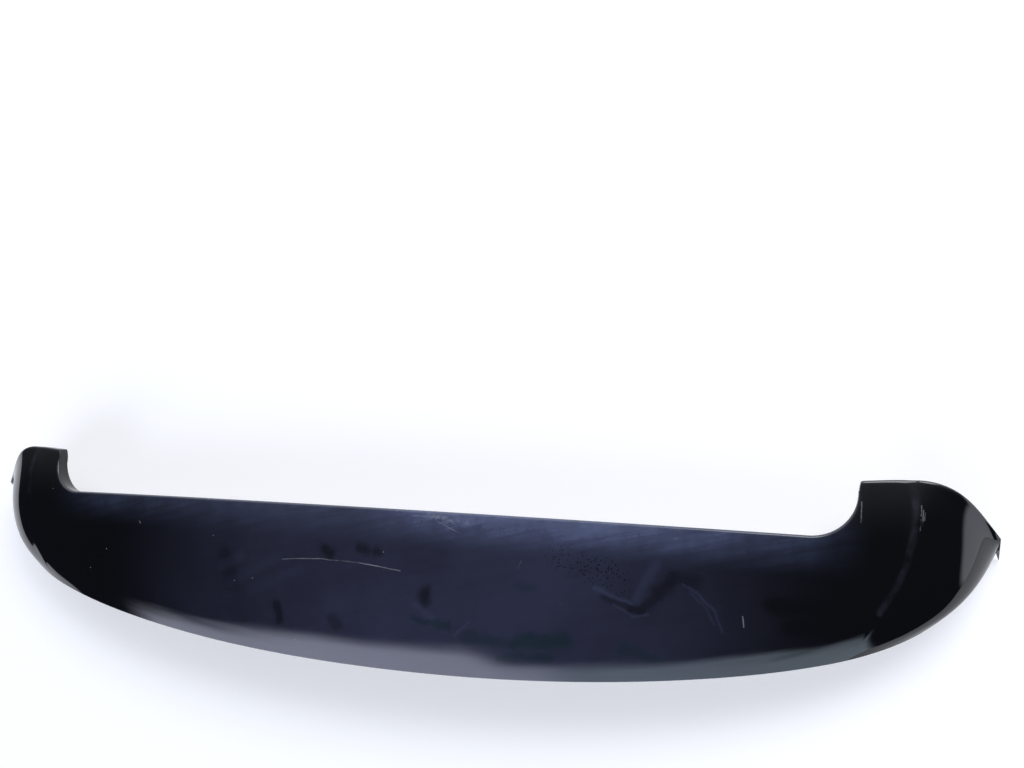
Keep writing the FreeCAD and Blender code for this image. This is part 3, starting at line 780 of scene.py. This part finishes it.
        # Layers: dust film, painted shade tongues, dust with painted sheen, smears, painted crease highlight,
        # scuffs, scratches, specks
        for share, layer in (
                (film, self.dusty), (nodes.product(tongue, self.band_edge_shade_share), self.band_edge_shade), (haze_and_sheen, self.haze_and_sheen),
                (nodes.product(smear, self.smear_share), self.haze_and_sheen),
                (nodes.product(crease, self.crease_glint_share), self.crease_glint),
                (nodes.product(scuff, self.scuff_share), self.scored),
                (nodes.product(scratch, self.scratch_share), self.scored),
                (self.specks(nodes, place), self.speck)):
            colour = nodes.mix(share, colour, layer)
        dull = nodes.math("ADD", nodes.product(haze_and_sheen, self.haze_and_sheen_roughness),
                          nodes.product(film, self.film_roughness))
        marked = nodes.product(nodes.math("MAXIMUM", scratch, scuff), self.mark_roughness)
        roughness = nodes.math("ADD", nodes.math("ADD", dull, marked), self.roughness, clamp=True)
        peel = nodes.noise(place, 140.0, 1.0)[0]
        bump = nodes.add("Bump", {"Strength": 0.12, "Distance": 0.00002, "Height": peel})
        shader = nodes.add("BsdfPrincipled", {"Base Color": colour, "Roughness": roughness,
                                              "Normal": bump.outputs[0], "IOR": self.index})
        nodes.add("OutputMaterial", {0: shader.outputs[0]})
        return paint

    def swayed(self, nodes: Nodes, flat: Socket, reach: float) -> Socket:
        """Push places about a little, so that straight strokes look drawn by hand."""
        noise = nodes.noise(flat, 55.0, 3.0)["Color"]
        push = nodes.vector("SUBTRACT", noise, (0.5, 0.5, 0.5))[0]
        push = nodes.vector("MULTIPLY", push, (reach, reach, 0))[0]
        return nodes.vector("ADD", flat, push)[0]

    def streaks(self, nodes: Nodes, flat: Socket) -> Socket:
        """Long thin streaks, as a cloth leaves them, that run from rear left to front right."""
        turned = nodes.add("VectorRotate", {"Vector": flat, "Angle": math.radians(self.streak_angle)},
                           rotation_type="Z_AXIS").outputs[0]
        drawn = nodes.vector("MULTIPLY", turned, self.streak_stretch)[0]
        return nodes.noise(drawn, 1.0, 5.0, 0.6)[0]

    def film(self, nodes: Nodes, x: Socket, cloud: Socket, streaks: Socket) -> Socket:
        """Film of dust over the middle of the wing, thinner towards both ends."""
        middle = nodes.product(nodes.ease(x, -0.36, -0.04), nodes.ease(x, 0.46, 0.2))
        patchy = nodes.spread(cloud, 0.62, 1.05, 0.3, 0.7)
        drawn = nodes.spread(streaks, 0.92, 1.04, 0.3, 0.7)
        return nodes.math("MULTIPLY", nodes.product(middle, patchy), drawn, clamp=True)

    def droplets(self, nodes: Nodes, flat: Socket, x: Socket, y: Socket) -> Socket:
        """Share of the film left where droplets have washed it off in dots."""
        cells = nodes.add("TexVoronoi", {"Vector": flat, "Scale": 400.0, "Randomness": 1.0})
        dots = nodes.ease(cells.outputs["Distance"], 0.42, 0.26)
        across = nodes.product(nodes.ease(x, 0.165, 0.2), nodes.ease(x, 0.28, 0.25))
        slant = nodes.math("ADD", y, nodes.product(x, 0.3))
        along = nodes.product(nodes.ease(slant, 0.055, 0.07), nodes.ease(slant, 0.1, 0.085))
        draw = nodes.add("SeparateColor", {0: cells.outputs["Color"]}).outputs[0]
        some = nodes.math("GREATER_THAN", draw, 0.3)
        return nodes.math("SUBTRACT", 1.0, nodes.product(across, along, dots, some, 0.7))

    def front_haze_and_sheen(self, nodes: Nodes, x: Socket, y: Socket, ragged: Socket, streaks: Socket) -> Socket:
        """Dust that lies behind the recess with a painted bluish sheen of reflection over it, thickest right of
        the middle.
        """
        near = nodes.ease(y, 0.012, 0.054)
        thick = nodes.product(nodes.ease(x, -0.03, 0.08), nodes.ease(x, 0.47, 0.2))
        thick = nodes.spread(thick, 0.26, 0.95)
        ends = nodes.product(nodes.ease(x, -0.46, -0.36), nodes.ease(x, 0.475, 0.41))
        broken = nodes.product(nodes.ease(ragged, 0.1, 0.8), nodes.ease(streaks, 0.1, 0.8))
        broken = nodes.product(nodes.math("ADD", broken, 0.35), near, ends)
        return nodes.math("MULTIPLY", broken, thick, clamp=True)

    def specks(self, nodes: Nodes, place: Socket) -> Socket:
        """Scattered specks of dust."""
        cells = nodes.add("TexVoronoi", {"Vector": place, "Scale": 85.0, "Randomness": 1.0})
        draw = nodes.add("SeparateColor", {0: cells.outputs["Color"]}).outputs[0]
        some = nodes.math("GREATER_THAN", draw, 0.93)
        dots = nodes.ease(cells.outputs["Distance"], 0.075, 0.03)
        return nodes.product(some, dots, 0.35)


@dataclass(frozen=True)
class MouldedFinish:
    """Plain moulded or plated finish with a fine grain and a little unevenness."""

    name: str
    colour: tuple[float, float, float]
    roughness: float
    grain_scale: float
    grain_depth: float
    metallic: float = 0.0
    unevenness: float = 0.25

    def material(self) -> bpy.types.Material:
        """Make the finish's material."""
        finish = bpy.data.materials.new(self.name)
        finish.use_nodes = True
        nodes = Nodes(finish.node_tree)
        place = nodes.add("TexCoord").outputs["Object"]
        cloud = nodes.noise(place, 25.0, 5.0)[0]
        grain = nodes.noise(place, self.grain_scale, 3.0)[0]
        dark = (*(channel * (1 - self.unevenness) for channel in self.colour), 1.0)
        light = (*(min(1.0, channel * (1 + self.unevenness)) for channel in self.colour), 1.0)
        colour = nodes.mix(nodes.ease(cloud, 0.3, 0.7), dark, light)
        rough = nodes.spread(grain, self.roughness * 0.8, self.roughness * 1.15, 0.3, 0.7)
        bump = nodes.add("Bump", {"Strength": 0.6, "Distance": self.grain_depth * MM, "Height": grain})
        shader = nodes.add("BsdfPrincipled", {"Base Color": colour, "Roughness": rough,
                                              "Metallic": self.metallic, "Normal": bump.outputs[0]})
        nodes.add("OutputMaterial", {0: shader.outputs[0]})
        return finish


class Finish(Enum):
    """Finishes of the hidden pieces."""

    PLASTIC = MouldedFinish("grained_black_plastic", (0.021, 0.021, 0.022), 0.5, 1400.0, 0.12)
    STEEL = MouldedFinish("zinc_plated_steel", (0.62, 0.61, 0.57), 0.32, 700.0, 0.02, 1.0, 0.12)
    FOAM = MouldedFinish("closed_cell_foam", (0.022, 0.022, 0.023), 0.9, 1900.0, 0.35)
    NYLON = MouldedFinish("natural_nylon", (0.7, 0.68, 0.6), 0.42, 500.0, 0.05, 0.0, 0.06)


@dataclass(frozen=True)
class ThreadedStuds:
    """Four studs with a flange, a cut thread and a pointed end, in millimetres."""

    spacing: tuple[float, float] = (520.0, 50.0)
    radius: float = 3.0
    root_radius: float = 2.45
    pitch: float = 1.0
    turns: int = 15
    steps: int = 28
    thread_top: float = -1.0
    flange_radius: float = 8.0
    flange_height: float = 2.0
    foot_radius: float = 4.0
    foot_height: float = 7.0
    bottom: float = -18.0
    bevel: float = 0.3
    core_margin: float = 0.02
    neck: tuple[float, float, float] = (0.6, 0.5, 0.9)
    point: tuple[float, float] = (0.9, 1.6)
    crest_share: float = 1 / 16
    weld: float = 1e-3
    sharp_angle: float = 30.0

    def turned(self, bm: bmesh.types.BMesh, profile: list[tuple[float, float]]) -> None:
        """Spin a profile of radius and height into a closed turned shape."""
        verts = [bm.verts.new((radius, 0, z)) for radius, z in profile]
        edges = [bm.edges.new(pair) for pair in zip(verts, verts[1:])]
        bmesh.ops.spin(bm, geom=verts + edges, cent=(0, 0, 0), axis=(0, 0, 1), dvec=(0, 0, 0),
                       angle=math.tau, steps=self.steps, use_merge=True, use_duplicate=False)

    def thread(self, bm: bmesh.types.BMesh) -> None:
        """Wind the thread up the shank."""
        low = self.thread_top - self.turns * self.pitch
        half, crest = self.pitch / 2, self.pitch * self.crest_share
        profile = ((self.root_radius, -half), (self.radius, -crest),
                   (self.radius, crest), (self.root_radius, half))
        verts = [bm.verts.new((radius, 0, low + rise)) for radius, rise in profile]
        edges = [bm.edges.new(pair) for pair in zip(verts, verts[1:])]
        bmesh.ops.spin(bm, geom=verts + edges, cent=(0, 0, 0), axis=(0, 0, 1),
                       dvec=(0, 0, self.pitch / self.steps), angle=math.tau * self.turns,
                       steps=self.steps * self.turns, use_merge=False, use_duplicate=False)

    def mesh(self) -> bpy.types.Mesh:
        """Turn one stud, thread it and set a copy at each place."""
        bm = bmesh.new()
        high, bevel, bottom = self.flange_height, self.bevel, self.bottom
        top = high + self.foot_height
        core = self.root_radius + self.core_margin
        neck_out, neck_start, neck_end = self.neck
        point_in, point_rise = self.point
        self.turned(bm, [
            (0, top), (self.foot_radius - bevel, top), (self.foot_radius, top - bevel),
            (self.foot_radius, high), (self.flange_radius - bevel, high),
            (self.flange_radius, high - bevel), (self.flange_radius, bevel),
            (self.flange_radius - bevel, 0), (self.radius + neck_out, 0), (self.radius, -neck_start),
            (core, -neck_end), (core, bottom + point_rise), (self.root_radius - point_in, bottom), (0, bottom),
        ])
        self.thread(bm)
        bmesh.ops.remove_doubles(bm, verts=bm.verts, dist=self.weld)
        bmesh.ops.holes_fill(bm, edges=[edge for edge in bm.edges if edge.is_boundary], sides=0)
        bmesh.ops.recalc_face_normals(bm, faces=bm.faces)
        bmesh.ops.scale(bm, verts=bm.verts, vec=(MM, MM, MM))
        first = bm.verts[:] + bm.edges[:] + bm.faces[:]
        half_x, half_y = (gap / 2 for gap in self.spacing)
        home, *others = [Vector((x, y, 0)) * MM for x in (-half_x, half_x) for y in (-half_y, half_y)]
        bmesh.ops.translate(bm, verts=bm.verts, vec=home)
        for place in others:
            made = bmesh.ops.duplicate(bm, geom=first)["geom"]
            verts = [item for item in made if isinstance(item, bmesh.types.BMVert)]
            bmesh.ops.translate(bm, verts=verts, vec=place - home)
        mesh = bpy.data.meshes.new("threaded_studs")
        bm.to_mesh(mesh)
        bm.free()
        mesh.shade_smooth()
        mesh.set_sharp_from_angle(angle=math.radians(self.sharp_angle))
        return mesh

    def build(self) -> None:
        """Make the studs and put them in the place of their solids."""
        studs = bpy.data.objects.new("threaded_studs", self.mesh())
        bpy.context.scene.collection.objects.link(studs)
        studs.data.materials.append(Finish.STEEL.value.material())
        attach(studs, "root")
        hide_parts("mounting_studs")
        log.info("threaded_studs: %d faces", len(studs.data.polygons))


def dress(node: str, finish: Finish) -> None:
    """Give a solid that keeps its shape its finish."""
    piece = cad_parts[node]
    piece.data.materials.clear()
    piece.data.materials.append(finish.value.material())
    log.info("%s: %s", node, finish.value.name)


@dataclass(frozen=True)
class Stage:
    """Pale floor, studio surroundings, lamp and camera, in metres."""

    floor_z: float = -0.0527
    floor_size: float = 30.0
    floor_glow: float = 0.42
    floor_colour: Colour = (0.66, 0.66, 0.665, 1.0)
    dark: Colour = (0.012, 0.014, 0.022, 1.0)
    pale: Colour = (1.6, 1.68, 1.9, 1.0)
    rear_left: Colour = (3.2, 3.35, 4.2, 1.0)
    rear_right: Colour = (1.6, 1.95, 2.35, 1.0)
    lamp_size: tuple[float, float] = (1.6, 1.0)
    lamp_power: float = 26.0
    lamp_place: tuple[float, float, float] = (1.0, 1.5, 1.5)
    lamp_target: tuple[float, float, float] = (0.1, 0.0, 0.0)
    camera_place: tuple[float, float, float] = (0.4166, -0.0456, 0.8165)
    camera_right: tuple[float, float, float] = (0.9442, 0.0985, -0.3143)
    camera_up: tuple[float, float, float] = (-0.005, 0.9584, 0.2852)
    lens: float = 29.65

    def build(self) -> None:
        """Set up the floor, the surroundings, the lamp and the camera."""
        self.floor()
        self.surroundings()
        self.lamp()
        self.camera()
        bpy.context.scene.view_settings.view_transform = "Standard"

    def floor(self) -> None:
        """Lay a plain pale floor under the lowest point."""
        bpy.ops.mesh.primitive_plane_add(size=self.floor_size, location=(0, 0, self.floor_z))
        floor = bpy.context.object
        floor.name = "pale_floor"
        material = bpy.data.materials.new("pale_floor")
        material.use_nodes = True
        nodes = Nodes(material.node_tree)
        path = nodes.add("LightPath").outputs
        seen = nodes.math("MAXIMUM", path["Is Camera Ray"], path["Is Glossy Ray"])
        seen = nodes.math("MAXIMUM", seen, path["Is Transmission Ray"])
        glow = nodes.math("MULTIPLY", seen, self.floor_glow)
        shader = nodes.add("BsdfPrincipled", {"Base Color": self.floor_colour, "Roughness": 0.9,
                                              "Specular IOR Level": 0.1, "Emission Color": (1, 1, 1, 1),
                                              "Emission Strength": glow})
        nodes.add("OutputMaterial", {0: shader.outputs[0]})
        floor.data.materials.append(material)

    def surroundings(self) -> None:
        """Light the scene from pale walls at the rear, right and front, with dark between them."""
        world = bpy.data.worlds.new("studio")
        bpy.context.scene.world = world
        world.use_nodes = True
        nodes = Nodes(world.node_tree)
        way = nodes.add("TexCoord").outputs["Generated"]
        x, y, _ = nodes.add("SeparateXYZ", {0: way}).outputs
        patches = nodes.noise(way, 5.0, 3.0)[0]
        sway = nodes.product(nodes.math("SUBTRACT", patches, 0.5), 0.22)
        step = nodes.ease(nodes.math("ADD", x, nodes.product(sway, 0.3)), -0.32, -0.23)
        depth = nodes.math("SUBTRACT", nodes.math("SUBTRACT", sway, y), nodes.product(step, 0.2))
        sides = nodes.product(nodes.ease(x, -0.82, -0.76), nodes.ease(x, 0.56, 0.52))
        fading = nodes.spread(x, 0.58, 1.0, -0.9, -0.55)
        rear = nodes.product(nodes.ease(depth, 0.42, 0.62), sides, fading)
        wall = nodes.mix(nodes.ease(x, -0.2, -0.1), self.rear_left, self.rear_right)
        right = nodes.product(nodes.ease(x, 0.915, 0.95), nodes.ease(y, -0.5, -0.4))
        front = nodes.ease(y, 0.36, 0.6)
        glow = nodes.product(nodes.ease(y, -0.06, 0.5), 0.3)
        bright = nodes.math("MAXIMUM", right, nodes.math("MAXIMUM", front, glow))
        colour = nodes.mix(rear, nodes.mix(bright, self.dark, self.pale), wall)
        light = nodes.add("Background", {0: colour, 1: 1.0})
        nodes.add("OutputWorld", {0: light.outputs[0]})

    def lamp(self) -> None:
        """Hang one large soft lamp in front of the arms, to the right."""
        data = bpy.data.lights.new("soft_lamp", "AREA")
        data.shape = "RECTANGLE"
        data.size, data.size_y = self.lamp_size
        data.energy = self.lamp_power
        lamp = bpy.data.objects.new("soft_lamp", data)
        bpy.context.scene.collection.objects.link(lamp)
        lamp.location = self.lamp_place
        aim = Vector(self.lamp_target) - lamp.location
        lamp.rotation_euler = aim.to_track_quat("-Z", "Y").to_euler()

    def camera(self) -> None:
        """Stand the camera where the spoiler looks as it should."""
        right, up = Vector(self.camera_right).normalized(), Vector(self.camera_up)
        back = right.cross(up).normalized()
        up = back.cross(right)
        data = bpy.data.cameras.new("camera")
        data.lens = self.lens
        data.sensor_width = 36.0
        data.clip_start, data.clip_end = 0.01, 100.0
        camera = bpy.data.objects.new("camera", data)
        bpy.context.scene.collection.objects.link(camera)
        turn = Matrix((right, up, back)).transposed().to_4x4()
        camera.matrix_world = Matrix.Translation(self.camera_place) @ turn
        bpy.context.scene.camera = camera


def main() -> None:
    """Build the stage and every piece in order."""
    Stage().build()
    UpperShell(WingForm()).build(GlossPaint().material())
    ThreadedStuds().build()
    dress("lower_shell", Finish.PLASTIC)
    dress("stud_seals", Finish.FOAM)
    dress("arm_clips", Finish.NYLON)


if __name__ == "__main__":
    main()
